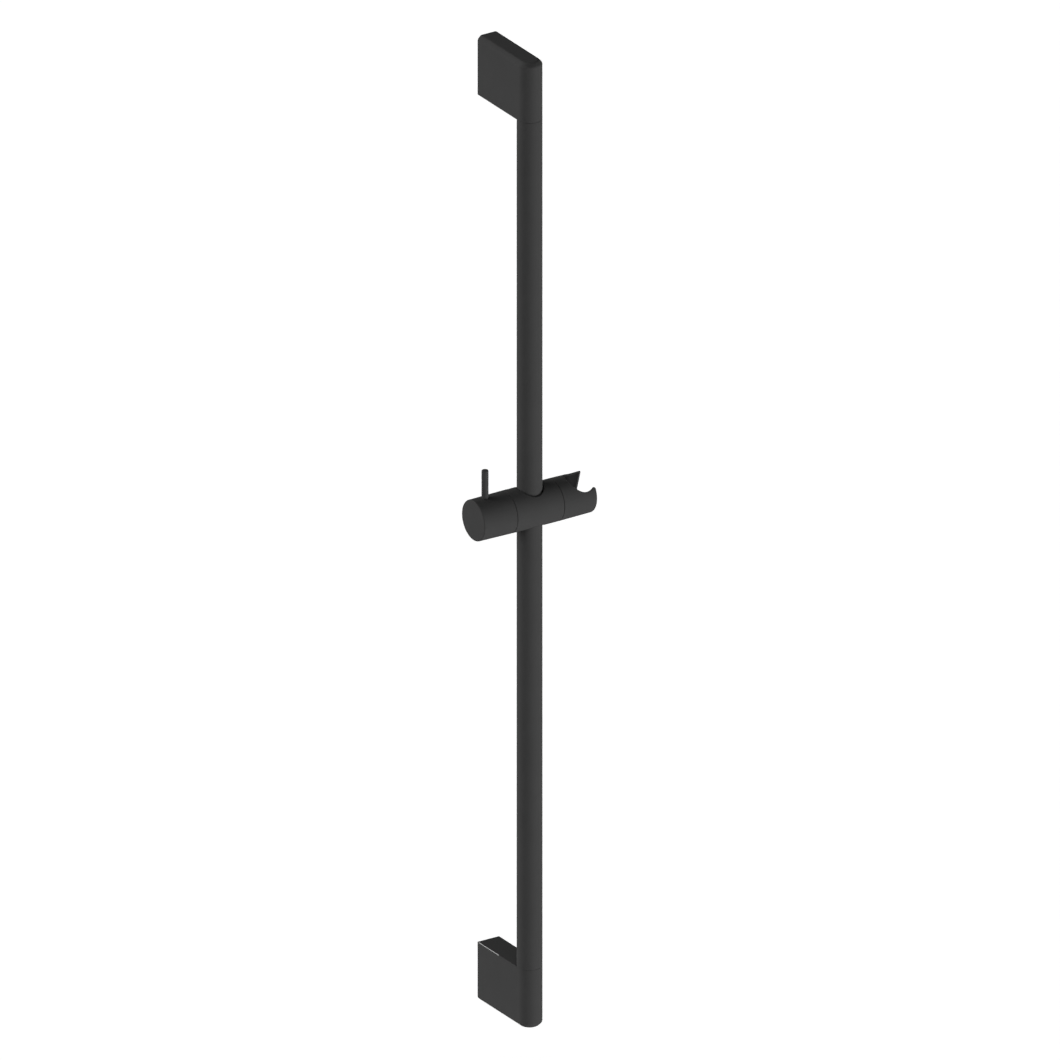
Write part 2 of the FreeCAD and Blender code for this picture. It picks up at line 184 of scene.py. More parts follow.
class SurfaceGroups:
    """Shader node groups that the finishes share, each built once."""

    GRAIN_DETAIL = 2.0
    SWELL_DETAIL = 1.0
    SWELL_SHARE = 0.22
    MOTTLE_PER_METRE = 38.0
    MOTTLE_DETAIL = 4.0
    MIDDLE = 0.5

    def __init__(self) -> None:
        """Builds every group."""
        self.marks = {Making.GRAINED: self._grain(), Making.TURNED: self._turning()}
        self.mottle = self._mottle()
        self.painted_edge_highlight = self._painted_highlight_group()
        # Painted highlight along a straight edge.
        self.seat_shade = self._painted_shade_group()
    # Painted shade on the wall of a conical seat.

    def _grain(self) -> Tree:
        """Fine pimples over a softer, wider swell, as a coat, casting or moulding has."""
        shader, given = new_group("Surface grain", {"Marks per metre": FLOAT}, "Height")
        density = given.outputs["Marks per metre"]
        fine = self._noise(shader, density, self.GRAIN_DETAIL)
        swell = self._noise(shader, shader.math("MULTIPLY", density, self.SWELL_SHARE), self.SWELL_DETAIL)
        shader.add("NodeGroupOutput", {"Height": shader.math("ADD", fine, swell)})
        return shader.tree

    def _mottle(self) -> Tree:
        """Slow change of tone and gloss over a surface."""
        shader, given = new_group("Surface mottle", {"Spread": FLOAT}, "Mask")
        noise = self._noise(shader, self.MOTTLE_PER_METRE, self.MOTTLE_DETAIL)
        centred = shader.math("SUBTRACT", noise, self.MIDDLE)
        spread = shader.math("MULTIPLY", centred, given.outputs["Spread"])
        mask = shader.add("ShaderNodeMath", {0: spread, 1: self.MIDDLE}, operation="ADD", use_clamp=True)
        shader.add("NodeGroupOutput", {"Mask": mask.outputs[0]})
        return shader.tree

    def _turning(self) -> Tree:
        """Rings that a lathe tool leaves, across the slider's axis."""
        shader, given = new_group("Turning marks", {"Marks per metre": FLOAT}, "Height")
        along = shader.vector_math("DOT_PRODUCT", shader.place(), RIGHT).outputs["Value"]
        turns = shader.math("MULTIPLY", along, given.outputs["Marks per metre"])
        phase = shader.math("MULTIPLY", turns, math.tau)
        shader.add("NodeGroupOutput", {"Height": shader.math("SINE", phase)})
        return shader.tree

    def _painted_highlight_group(self) -> Tree:
        """Stretch of a straight edge painted lighter, as a painted highlight."""
        inputs = {"Start": VECTOR, "Axis": VECTOR, "Length": FLOAT, "Width": FLOAT}
        shader, given = new_group("Painted edge highlight", inputs, "Mask")
        travel, away = self._about_axis(shader, given)
        near = shader.math("LESS_THAN", away, given.outputs["Width"])
        begun = shader.math("GREATER_THAN", travel, 0.0)
        unended = shader.math("LESS_THAN", travel, given.outputs["Length"])
        stretch = shader.math("MULTIPLY", begun, unended)
        shader.add("NodeGroupOutput", {"Mask": shader.math("MULTIPLY", near, stretch)})
        return shader.tree

    def _painted_shade_group(self) -> Tree:
        """Wall of a conical seat, painted darker as painted shade in the seat's recess."""
        inputs = {"Start": VECTOR, "Axis": VECTOR, "Radius": FLOAT, "Slope": FLOAT, "Depth": FLOAT}
        shader, given = new_group("Painted seat shade", inputs, "Mask")
        travel, away = self._about_axis(shader, given)
        growth = shader.math("MULTIPLY", travel, given.outputs["Slope"])
        radius = shader.math("ADD", given.outputs["Radius"], growth)
        gap = shader.math("ABSOLUTE", shader.math("SUBTRACT", away, radius))
        shader.add("NodeGroupOutput", {"Mask": shader.math("LESS_THAN", gap, given.outputs["Depth"])})
        return shader.tree

    @staticmethod
    def _noise(shader: ShaderTree, scale: float | Socket, detail: float) -> Socket:
        """Even noise over the piece."""
        inputs = {"Vector": shader.place(), "Scale": scale, "Detail": detail}
        return shader.add("ShaderNodeTexNoise", inputs).outputs["Fac"]

    @staticmethod
    def _about_axis(shader: ShaderTree, given: bpy.types.Node) -> tuple[Socket, Socket]:
        """Finds how a point lies about an axis.

        Args:
            shader: The group's tree.
            given: The group's input node, which has a start and an axis.

        Returns:
            The travel along the axis from its start, and the distance from the axis.
        """
        axis = given.outputs["Axis"]
        offset = shader.vector_math("SUBTRACT", shader.place(), given.outputs["Start"]).outputs[0]
        travel = shader.vector_math("DOT_PRODUCT", offset, axis).outputs["Value"]
        foot = shader.add("ShaderNodeVectorMath", {0: axis, "Scale": travel}, operation="SCALE").outputs[0]
        return travel, shader.vector_math("DISTANCE", offset, foot).outputs["Value"]


@dataclass(frozen=True)
class Patch(ABC):
    """Part of a surface, about an axis, painted in tones of its own: a painted highlight or painted shade.
    """

    start: Direction
    axis: Direction
    dark: Colour
    light: Colour

    @abstractmethod
    def found_by(self, groups: SurfaceGroups) -> tuple[Tree, dict[str, float]]:
        """The group that finds the patch, and the sizes that it needs."""

    def mask(self, shader: ShaderTree, groups: SurfaceGroups) -> Socket:
        """One on the patch.

        Args:
            shader: The material's tree.
            groups: The shared node groups.

        Returns:
            The socket that gives the mask.
        """
        group, sizes = self.found_by(groups)
        inputs = {"Start": self.start, "Axis": self.axis, **sizes}
        return shader.add("ShaderNodeGroup", inputs, node_tree=group).outputs["Mask"]


@dataclass(frozen=True)
class PaintedEdgeHighlight(Patch):
    """Stretch of a straight edge where a painted highlight lightens the coat's colour."""

    length: float
    width: float

    def found_by(self, groups: SurfaceGroups) -> tuple[Tree, dict[str, float]]:
        """The group of the painted edge highlight, and its length and width."""
        return groups.painted_edge_highlight, {"Length": self.length, "Width": self.width}


@dataclass(frozen=True)
class PaintedSeatShade(Patch):
    """Wall of a conical seat painted darker: painted shade in the seat's recess."""

    radius: float
    slope: float
    depth: float

    def found_by(self, groups: SurfaceGroups) -> tuple[Tree, dict[str, float]]:
        """The group of the painted seat shade, and its radius, slope and depth."""
        return groups.seat_shade, {"Radius": self.radius, "Slope": self.slope, "Depth": self.depth}


@dataclass(frozen=True)
class Finish:
    """One surface finish: its tones, its gloss and the fine relief left by its making."""

    name: str
    dark: Colour
    light: Colour
    smooth: float
    rough: float
    metallic: float = 0.0
    ior: float = 1.45
    making: Making = Making.GRAINED
    marks_per_metre: float = 1500.0
    relief: float = 0.012 * MM
    mottle_spread: float = 1.4
    # Painted highlight or painted shade on part of the surface.
    patch: Patch | None = None

    def material(self, groups: SurfaceGroups) -> bpy.types.Material:
        """Builds the finish as a material.

        Args:
            groups: The shared node groups.

        Returns:
            The new material.
        """
        material, shader = new_material(self.name)
        mottle = shader.add("ShaderNodeGroup", {"Spread": self.mottle_spread}, node_tree=groups.mottle)
        mask = mottle.outputs["Mask"]
        tone = shader.ramp(mask, (self.dark, self.light))
        # Mixes in the patch's painted highlight or painted shade.
        if self.patch:
            other = shader.ramp(mask, (self.patch.dark, self.patch.light))
            shares = {"Fac": self.patch.mask(shader, groups), "Color1": tone, "Color2": other}
            tone = shader.add("ShaderNodeMixRGB", shares).outputs["Color"]
        ends = {"Value": mask, "To Min": self.smooth, "To Max": self.rough}
        density = {"Marks per metre": self.marks_per_metre}
        marks = shader.add("ShaderNodeGroup", density, node_tree=groups.marks[self.making])
        relief = {"Height": marks.outputs["Height"], "Distance": self.relief}
        surface = shader.add(
            "ShaderNodeBsdfPrincipled",
            {
                "Base Color": tone,
                "Roughness": shader.add("ShaderNodeMapRange", ends).outputs["Result"],
                "Metallic": self.metallic,
                "IOR": self.ior,
                "Normal": shader.add("ShaderNodeBump", relief).outputs["Normal"],
            },
        )
        shader.add("ShaderNodeOutputMaterial", {"Surface": surface.outputs["BSDF"]})
        return material


BLACK_COAT = Finish("Matt black coat", grey(0.0425), grey(0.0469), smooth=0.56, rough=0.7, ior=1.025)

# Painted highlight: a thin light line painted along the lower bracket's top near edge.
LOWER_BRACKET_PAINTED_HIGHLIGHT = PaintedEdgeHighlight(
    start=(-11.0 * MM, -1.5 * MM, -395.0 * MM),
    axis=FORWARD,
    dark=grey(0.38),
    light=grey(0.44),
    length=32.0 * MM,
    width=0.36 * MM,
)

FINISHES: dict[str, Finish] = {
    "black_coat": BLACK_COAT,
    # Coat with the painted edge highlight of the lower bracket.
    "coat_with_painted_highlight": replace(BLACK_COAT, name="Matt black coat with a painted edge highlight", patch=LOWER_BRACKET_PAINTED_HIGHLIGHT),
    "zinc": Finish(
        "Cast zinc",
        dark=(0.2, 0.205, 0.21, 1.0),
        light=(0.29, 0.295, 0.3, 1.0),
        smooth=0.6,
        rough=0.74,
        metallic=1.0,
        marks_per_metre=900.0,
        relief=0.04 * MM,
        mottle_spread=2.4,
    ),
    "steel": Finish(
        "Turned stainless steel",
        dark=(0.24, 0.237, 0.23, 1.0),
        light=(0.31, 0.307, 0.3, 1.0),
        smooth=0.46,
        rough=0.54,
        metallic=1.0,
        making=Making.TURNED,
        marks_per_metre=4000.0,
        relief=0.004 * MM,
    ),
    "brass": Finish(
        "Turned brass",
        dark=(0.62, 0.43, 0.17, 1.0),
        light=(0.72, 0.52, 0.23, 1.0),
        smooth=0.24,
        rough=0.36,
        metallic=1.0,
        making=Making.TURNED,
        marks_per_metre=3500.0,
        relief=0.004 * MM,
    ),
    "black_plastic": Finish(
        "Moulded black plastic",
        dark=grey(0.017),
        light=grey(0.021),
        smooth=0.6,
        rough=0.7,
        ior=1.03,
        marks_per_metre=2200.0,
    ),
    "white_plastic": Finish(
        "Moulded white plastic",
        dark=(0.66, 0.65, 0.62, 1.0),
        light=(0.74, 0.73, 0.7, 1.0),
        smooth=0.36,
        rough=0.46,
        marks_per_metre=2200.0,
    ),
    "seal_rubber": Finish(
        "Seal rubber",
        dark=grey(0.012),
        light=grey(0.018),
        smooth=0.66,
        rough=0.8,
        marks_per_metre=3000.0,
    ),
}


class Wardrobe:
    """Every finish as a material, and the piece that each goes on."""

    def __init__(self, frame: dict[str, Any]) -> None:
        """Builds the materials.

        Args:
            frame: The loaded frame.
        """
        self.groups = SurfaceGroups()
        self.nodes = frame["nodes"]
        self.materials = {name: finish.material(self.groups) for name, finish in FINISHES.items()}

    def add(self, name: str, finish: Finish) -> None:
        """Adds a finish that one piece alone has."""
        self.materials[name] = finish.material(self.groups)

    def dress_nodes(self, slot: str, *nodes: str) -> None:
        """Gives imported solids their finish.

        Args:
            slot: The slot of the finish.
            nodes: The solids.
        """
        for node in nodes:
            solid = self.nodes[node]
            if not solid.material_slots:
                solid.data.materials.append(None)
            for material_slot in solid.material_slots:
                material_slot.material = self.materials[slot]
            LOG.info("%s stays as packed, in %s", node, slot)

    def stand_in(
        self,
        piece: bpy.types.Object,
        node: str,
        body: str,
        slot: str = "black_coat",
        finish: str | None = None,
    ) -> None:
        """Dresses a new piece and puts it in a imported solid's stead.

        Args:
            piece: The new piece.
            node: The solid that it stands for.
            body: The body that it rides.
            slot: Its material slot.
            finish: A variant of the slot's finish, where it has one.
        """
        piece.data.materials.clear()
        piece.data.materials.append(self.materials[finish or slot])
        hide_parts(node)
        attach(piece, body)
        LOG.info("%s stands for %s", piece.name, node)


def rounded_profile(corners: list[tuple[float, float, float]], steps: int) -> list[tuple[float, float]]:
    """Rounds the corners of a closed profile.

    Args:
        corners: Radius, height and rounding of each corner, in order.
        steps: Points in each rounded corner, less one.

    Returns:
        The points of the rounded profile.
    """
    points: list[tuple[float, float]] = []
    for index, (radius, height, rounding) in enumerate(corners):
        corner = Vector((radius, height))
        if rounding == 0.0:
            points.append((radius, height))
            continue
        before = (Vector(corners[index - 1][:2]) - corner).normalized()
        after = (Vector(corners[(index + 1) % len(corners)][:2]) - corner).normalized()
        half_angle = before.angle(after) / 2
        middle = corner + (before + after).normalized() * (rounding / math.sin(half_angle))
        start = corner + before * (rounding / math.tan(half_angle)) - middle
        end = corner + after * (rounding / math.tan(half_angle)) - middle
        sweep = start.angle_signed(end)
        for step in range(steps + 1):
            arm = Matrix.Rotation(-sweep * step / steps, 2) @ start
            points.append(tuple(middle + arm))
    return points


def new_object(name: str, data: bpy.types.ID) -> bpy.types.Object:
    """Makes an object of a mesh, light or camera and puts it in the scene."""
    thing = bpy.data.objects.new(name, data)
    bpy.context.scene.collection.objects.link(thing)
    return thing


def new_piece(name: str, shape: bmesh.types.BMesh, sharp_deg: float = SHARP_DEG) -> bpy.types.Object:
    """Turns a finished mesh into an object, smooth but for its sharp edges.

    Args:
        name: The piece's name.
        shape: The mesh, which is freed.
        sharp_deg: Edges that turn more than this stay sharp.

    Returns:
        The new object, in the scene.
    """
    bmesh.ops.recalc_face_normals(shape, faces=shape.faces)
    mesh = bpy.data.meshes.new(name)
    shape.to_mesh(mesh)
    shape.free()
    mesh.shade_smooth()
    mesh.set_sharp_from_angle(angle=math.radians(sharp_deg))
    return new_object(name, mesh)


def flatten_normals(piece: bpy.types.Object) -> None:
    """Turns the normals beside a rounded edge to those of its large faces."""
    piece.modifiers.new("Face normals", "WEIGHTED_NORMAL").keep_sharp = True
    shown = piece.evaluated_get(bpy.context.evaluated_depsgraph_get())
    mesh = bpy.data.meshes.new_from_object(shown)
    piece.modifiers.clear()
    piece.data = mesh


def lathe(profile: list[tuple[float, float]], segments: int, place: Matrix) -> bmesh.types.BMesh:
    """Turns a closed profile about the Z axis and puts the result in place.

    Args:
        profile: Radius and height of each point, in order round the section.
        segments: Sides round the axis.
        place: Where the turned shape goes.

    Returns:
        The turned mesh.
    """
    shape = bmesh.new()
    rings = []
    for side in range(segments):
        angle = math.tau * side / segments
        across = Vector((math.cos(angle), math.sin(angle), 0.0))
        rings.append([shape.verts.new(place @ (across * r + Vector((0.0, 0.0, h)))) for r, h in profile])
    for side, ring in enumerate(rings):
        following = rings[(side + 1) % segments]
        for point, (radius, _) in enumerate(profile):
            other = (point + 1) % len(profile)
            if radius or profile[other][0]:
                shape.faces.new((ring[point], following[point], following[other], ring[other]))
    bmesh.ops.remove_doubles(shape, verts=shape.verts, dist=WELD)
    return shape


@dataclass
class Rail:
    """Drawn tube between the brackets."""

    wall_distance: float = 65.0 * MM
    radius: float = 11.0 * MM
    tube_wall: float = 1.5 * MM
    half_length: float = 395.0 * MM
    edge_round: float = 0.3 * MM
    segments: int = 192
    bands: int = 24
    corner_steps: int = 4

    def build(self, wardrobe: Wardrobe) -> None:
        """Builds the tube with its deburred ends.

        Args:
            wardrobe: The finishes.
        """
        bore = self.radius - self.tube_wall
        ends = self.half_length
        corners = [(self.radius, -ends, self.edge_round)]
        corners += [(self.radius, ends * (2 * k / self.bands - 1), 0.0) for k in range(1, self.bands)]
        corners += [(self.radius, ends, self.edge_round), (bore, ends, self.edge_round)]
        corners += [(bore, -ends, self.edge_round)]
        place = Matrix.Translation((0.0, -self.wall_distance, 0.0))
        tube = lathe(rounded_profile(corners, self.corner_steps), self.segments, place)
        wardrobe.stand_in(new_piece("rail_drawn_tube", tube), "rail_tube", "rail")


class RailEnd(Enum):
    """The two ends of the rail, as the nodes are named."""

    UPPER = "upper"
    LOWER = "lower"


@dataclass
class WallBracket:
    """Bracket at one end of the rail, with its anchor, grub screw and sealing ring."""

    end: RailEnd
    finish: str
    half_height: float = 450.0 * MM
    bevel: float = 3.3 * MM
    bevel_soft: float = 1.05 * MM
    bevel_steps: int = 5
    edge_soft: float = 0.25 * MM
    edge_steps: int = 2
    flat_deg: float = 0.5
    sharp_deg: float = 30.0
    bevel_turn_deg: tuple[float, float] = (30.0, 60.0)
    edge_turn_deg: tuple[float, float] = (75.0, 105.0)

    ROUND_PROFILE = 0.5

    def build(self, wardrobe: Wardrobe) -> None:
        """Builds the bracket with soft edges and dresses the pieces in it.

        Args:
            wardrobe: The finishes.
        """
        name = self.end.value
        shape = bmesh.new()
        shape.from_mesh(wardrobe.nodes[f"{name}_bracket"].data)
        bmesh.ops.remove_doubles(shape, verts=shape.verts, dist=WELD)
        flat = math.radians(self.flat_deg)
        bmesh.ops.dissolve_limit(shape, angle_limit=flat, verts=shape.verts, edges=shape.edges)
        closed = self.half_height - 2 * self.bevel
        self._soften(shape, self.bevel_turn_deg, closed, self.bevel_soft, self.bevel_steps)
        self._soften(shape, self.edge_turn_deg, 0.0, self.edge_soft, self.edge_steps)
        piece = new_piece(f"{name}_soft_bracket", shape, self.sharp_deg)
        flatten_normals(piece)
        wardrobe.stand_in(piece, f"{name}_bracket", "rail", finish=self.finish)
        wardrobe.dress_nodes("zinc", f"{name}_wall_anchor")
        wardrobe.dress_nodes("steel", f"{name}_anchor_grub_screw")
        wardrobe.dress_nodes("seal_rubber", f"{name}_spigot_ring")

    def _soften(
        self,
        shape: bmesh.types.BMesh,
        turn_deg: tuple[float, float],
        beyond: float,
        offset: float,
        steps: int,
    ) -> None:
        """Rounds the edges that turn by about an angle.

        Args:
            shape: The mesh.
            turn_deg: Least and most that such an edge turns.
            beyond: Only edges this far from the middle of the rail, or further, are rounded.
            offset: How far the rounding reaches from the edge.
            steps: Faces across it.
        """
        least, most = (math.radians(turn) for turn in turn_deg)
        edges = [
            edge
            for edge in shape.edges
            if least < edge.calc_face_angle(0.0) < most and min(abs(v.co.z) for v in edge.verts) > beyond
        ]
        bmesh.ops.bevel(
            shape,
            geom=edges,
            offset=offset,
            segments=steps,
            profile=self.ROUND_PROFILE,
            affect="EDGES",
            clamp_overlap=True,
        )


@dataclass
class Field:
    """Distance to a surface, below zero inside, and the way out of it, at many points."""

    distance: np.ndarray
    outward: np.ndarray

    TINY = 1e-12

    def inverse(self) -> Field:
        """The same surface with its inside and outside exchanged."""
        return Field(-self.distance, -self.outward)

    def common(self, other: Field, rounding: float) -> Field:
        """What two shapes share.

        Args:
            other: The second shape.
            rounding: Radius of the edge where the two surfaces meet.

        Returns:
            The shared shape, with that edge round.
        """
        first = self.distance + rounding
        second = other.distance + rounding
        turn = np.sum(self.outward * other.outward, axis=1)
        spread = np.maximum(1.0 - turn**2, self.TINY)
        lead = first - second * turn
        trail = second - first * turn
        on_edge = (lead > 0.0) & (trail > 0.0)
        reach = np.sqrt(np.maximum(first * lead + second * trail, self.TINY**2) / spread)
        blend = lead[:, None] * self.outward + trail[:, None] * other.outward
        edge_outward = blend / (reach * spread)[:, None]
        farther = self.distance > other.distance
        distance = np.where(farther, self.distance, other.distance)
        outward = np.where(farther[:, None], self.outward, other.outward)
        return Field(
            np.where(on_edge, reach - rounding, distance),
            np.where(on_edge[:, None], edge_outward, outward),
        )

    def minus(self, other: Field, rounding: float) -> Field:
        """This shape without the other, with a round edge where they meet."""
        return self.common(other.inverse(), rounding)

    def plus(self, other: Field, rounding: float) -> Field:
        """Both shapes together, with a round inner corner where they meet."""
        return self.inverse().common(other.inverse(), rounding).inverse()


Shape = Callable[[np.ndarray], Field]


def behind(points: np.ndarray, place: Direction, outward: Direction) -> Field:
    """Everything behind a plane."""
    way = np.array(outward)
    return Field((points - np.array(place)) @ way, np.broadcast_to(way, points.shape))


def taper(points: np.ndarray, foot: Direction, axis: Direction, radius: float, slope: float = 0.0) -> Field:
    """Endless round bar.

    Args:
        points: Where it is wanted.
        foot: Point on its axis where it has its radius.
        axis: Direction of its axis.
        radius: Its radius at the foot.
        slope: How much the radius grows for each metre along the axis.

    Returns:
        The bar.
    """
    way = np.array(axis)
    offset = points - np.array(foot)
    along = offset @ way
    across = offset - np.outer(along, way)
    away = np.maximum(np.linalg.norm(across, axis=1), Field.TINY)
    shorter = 1.0 / math.hypot(1.0, slope)
    outward = (across / away[:, None] - slope * way) * shorter
    return Field((away - radius - slope * along) * shorter, outward)


def bar(points: np.ndarray, radius: float, start: float, end: float, rounding: float) -> Field:
    """Round bar about the X axis between two places, with round edges at its ends."""
    shape = taper(points, MIDDLE, RIGHT, radius)
    shape = shape.common(behind(points, (end, 0.0, 0.0), RIGHT), rounding)
    return shape.common(behind(points, (start, 0.0, 0.0), LEFT), rounding)


def layer(points: np.ndarray, shape: Field, bottom: float, top: float, rounding: float) -> Field:
    """Part of a shape between two heights, with round edges."""
    shape = shape.common(behind(points, (0.0, 0.0, top), UP), rounding)
    return shape.common(behind(points, (0.0, 0.0, bottom), DOWN), rounding)


@dataclass
class SurfaceNet:
    """Even net of quads over a rounded shape that is given by its distance."""

    shape: Shape
    low: Direction
    high: Direction
    step: float
    relaxing: int = 5
    settling: int = 3

    BLOCK = 3
    SURE = 1.3
    CHUNK = 16384
    CELL_CORNERS = 8
    CELL_MIDDLE = 0.5

    def build(self) -> tuple[np.ndarray, np.ndarray, np.ndarray]:
        """Finds the cells that the surface passes through and joins their middles.

        Returns:
            The corners, the four corners of each quad, and the normal at each corner.
        """
        inside = self._inside()
        held = np.zeros(np.array(inside.shape) - 1, dtype=int)
        for x, y, z in itertools.product((0, 1), repeat=3):
            held += inside[x : x + held.shape[0], y : y + held.shape[1], z : z + held.shape[2]]
        crossed = (held > 0) & (held < self.CELL_CORNERS)
        number = np.full(held.shape, -1)
        number[crossed] = np.arange(np.count_nonzero(crossed))
        corners = np.array(self.low) + (np.argwhere(crossed) + self.CELL_MIDDLE) * self.step
        quads = np.concatenate([self._quads(inside, number, axis) for axis in range(3)])
        corners = self._settled(corners)
        for _ in range(self.relaxing):
            corners = self._settled(self._relaxed(corners, quads))
        for _ in range(self.settling):
            corners = self._settled(corners)
        normals = self._field(corners).outward
        return corners, quads, normals / np.linalg.norm(normals, axis=1)[:, None]

    def _field(self, points: np.ndarray) -> Field:
        """The shape at many points, worked out some thousands at a time."""
        parts = [self.shape(part) for part in np.array_split(points, len(points) // self.CHUNK + 1)]
        return Field(
            np.concatenate([part.distance for part in parts]),
            np.concatenate([part.outward for part in parts]),
        )

    def _inside(self) -> np.ndarray:
        """Tries the grid by small blocks first, and point by point where the surface is near.

        Returns:
            Which points of the grid lie inside.
        """
        size = np.array(self.high) - np.array(self.low)
        blocks = np.ceil(size / (self.step * self.BLOCK)).astype(int) + 1
        first = np.indices(blocks).reshape(3, -1).T * self.BLOCK
        half_block = (self.BLOCK - 1) / 2
        middles = self._field(np.array(self.low) + (first + half_block) * self.step).distance
        inside = (middles < 0.0).reshape(blocks)
        for axis in range(3):
            inside = np.repeat(inside, self.BLOCK, axis)
        near = first[np.abs(middles) < self.SURE * math.sqrt(3.0) * half_block * self.step]
        offsets = np.indices((self.BLOCK,) * 3).reshape(3, -1).T
        points = (near[:, None, :] + offsets).reshape(-1, 3)
        levels = self._field(np.array(self.low) + points * self.step).distance
        inside[points[:, 0], points[:, 1], points[:, 2]] = levels < 0.0
        return inside

    @staticmethod
    def _quads(inside: np.ndarray, number: np.ndarray, axis: int) -> np.ndarray:
        """Quads across the grid lines of one axis that the surface crosses.

        Args:
            inside: Which points of the grid lie inside.
            number: Each crossed cell's corner.
            axis: The axis of the grid lines.

        Returns:
            The four corners of each quad, outside first.
        """
        across, upward = (axis + 1) % 3, (axis + 2) % 3
        before = np.take(inside, range(inside.shape[axis] - 1), axis)
        after = np.take(inside, range(1, inside.shape[axis]), axis)
        loops = []
        for crossing, order in ((before & ~after, (0, 1, 2, 3)), (after & ~before, (3, 2, 1, 0))):
            places = np.argwhere(crossing)
            loop = []
            for back_across, back_upward in ((1, 1), (0, 1), (0, 0), (1, 0)):
                cell = places.copy()
                cell[:, across] -= back_across
                cell[:, upward] -= back_upward
                loop.append(number[cell[:, 0], cell[:, 1], cell[:, 2]])
            loops.append(np.stack([loop[k] for k in order], axis=1))
        return np.concatenate(loops)

    @staticmethod
    def _relaxed(corners: np.ndarray, quads: np.ndarray) -> np.ndarray:
        """Corners moved to the middle of their neighbours."""
        here = np.concatenate([quads, quads]).ravel()
        there = np.concatenate([np.roll(quads, -1, axis=1), np.roll(quads, 1, axis=1)]).ravel()
        share = np.bincount(here, minlength=len(corners))
        totals = [np.bincount(here, corners[there, axis], len(corners)) for axis in range(3)]
        return np.stack(totals, axis=1) / share[:, None]

    def _settled(self, corners: np.ndarray) -> np.ndarray:
        """Corners moved on to the surface."""
        field = self._field(corners)
        return corners - field.distance[:, None] * field.outward


@dataclass
class SliderSizes:
    """Sizes that the slider's pieces share, about the middle of the slider."""

    place: Direction = (0.0, -65.0 * MM, 33.3 * MM)
    radius: float = 18.75 * MM
    end_radius: float = 18.3 * MM
    half_length: float = 23.5 * MM
    seam: float = 23.8 * MM
    end: float = 57.0 * MM
    recess_radius: float = 17.65 * MM
    seam_round: float = 0.25 * MM
    end_round: float = 1.0 * MM
    inner_round: float = 0.1 * MM
    net_step: float = 0.38 * MM
    screw_net_step: float = 0.16 * MM
    net_margin: float = 1.5 * MM

    def slope(self) -> float:
        """Fall of the radius from the seam to the end."""
        return (self.end_radius - self.radius) / (self.end - self.seam)

    def net_piece(
        self, name: str, shape: Shape, span: tuple[float, float], radius: float, step: float
    ) -> bpy.types.Object:
        """Builds a piece of the slider as a net with the surface's own normals.

        Args:
            name: The piece's name.
            shape: Its form about the slider's middle.
            span: Where it starts and ends along the slider.
            radius: How far it reaches from the slider's axis.
            step: Size of the net's quads.

        Returns:
            The new object, in its place.
        """
        start, end = span
        reach = radius + self.net_margin
        low = (start - self.net_margin, -reach, -reach)
        high = (end + self.net_margin, reach, reach)
        corners, quads, normals = SurfaceNet(shape, low, high, step).build()
        mesh = bpy.data.meshes.new(name)
        mesh.from_pydata((corners + np.array(self.place)).tolist(), [], quads.tolist())
        mesh.shade_smooth()
        mesh.normals_split_custom_set_from_vertices(normals.tolist())
        return new_object(name, mesh)


@dataclass
class SliderBody:
    """Middle of the slider, with the pieces that run on the rail and brake it."""

    sizes: SliderSizes
    bore_radius: float = 12.0 * MM
    rim_round: float = 0.7 * MM
    groove_radius: float = 13.06 * MM
    groove_top: float = 11.453 * MM
    groove_bottom: float = 7.453 * MM
    guide_radius: float = 7.1 * MM
    guide_half_height: float = 5.553 * MM
    shoulder: float = 20.9 * MM
    flange_bore: float = 8.6 * MM
    neck_radius: float = 12.0 * MM
    neck_end: float = 29.4 * MM
    collar_radius: float = 17.57 * MM
    collar_end: float = 24.7 * MM
    washer_seat_radius: float = 17.4 * MM
    washer_seat_end: float = 23.56 * MM
    stub_radius: float = 8.0 * MM
    stub_end: float = 28.5 * MM
    thread_radius: float = 3.05 * MM
    thread_end: float = 13.45 * MM

    def shape(self, points: np.ndarray) -> Field:
        """The body about its own middle.

        Args:
            points: Where it is wanted.

        Returns:
            The body with all its edges round.
        """
        fine = self.sizes.inner_round
        half = self.sizes.half_length
        body = bar(points, self.sizes.radius, -half, half, self.sizes.seam_round)
        body = body.plus(bar(points, self.collar_radius, -self.collar_end, 0.0, fine), fine)
        body = body.plus(bar(points, self.neck_radius, -self.neck_end, 0.0, fine), fine)
        body = body.plus(bar(points, self.washer_seat_radius, 0.0, self.washer_seat_end, 0.0), 0.0)
        body = body.plus(bar(points, self.stub_radius, 0.0, self.stub_end, fine), fine)
        body = body.minus(taper(points, MIDDLE, UP, self.bore_radius), self.rim_round)
        groove = taper(points, MIDDLE, UP, self.groove_radius)
        for bottom, top in ((self.groove_bottom, self.groove_top), (-self.groove_top, -self.groove_bottom)):
            body = body.minus(layer(points, groove, bottom, top, fine), fine)
        guide = bar(points, self.guide_radius, -self.shoulder, 0.0, fine)
        guide = layer(points, guide, -self.guide_half_height, self.guide_half_height, fine)
        body = body.minus(guide, fine)
        body = body.minus(bar(points, self.flange_bore, -self.sizes.end, -self.shoulder, fine), fine)
        return body.minus(bar(points, self.thread_radius, self.thread_end, self.sizes.end, fine), fine)

    def build(self, wardrobe: Wardrobe) -> None:
        """Builds the body and dresses what it holds.

        Args:
            wardrobe: The finishes.
        """
        sizes = self.sizes
        span = (-self.neck_end, self.stub_end)
        piece = sizes.net_piece("slider_round_body", self.shape, span, sizes.radius, sizes.net_step)
        wardrobe.stand_in(piece, "slider_body", "slider")
        wardrobe.dress_nodes("black_plastic", "upper_slide_bush", "lower_slide_bush")
        wardrobe.dress_nodes("black_plastic", "brake_pad", "holder_friction_washer")
        wardrobe.dress_nodes("brass", "brake_nut", "spindle_gland")
        wardrobe.dress_nodes("white_plastic", "spindle_washer")


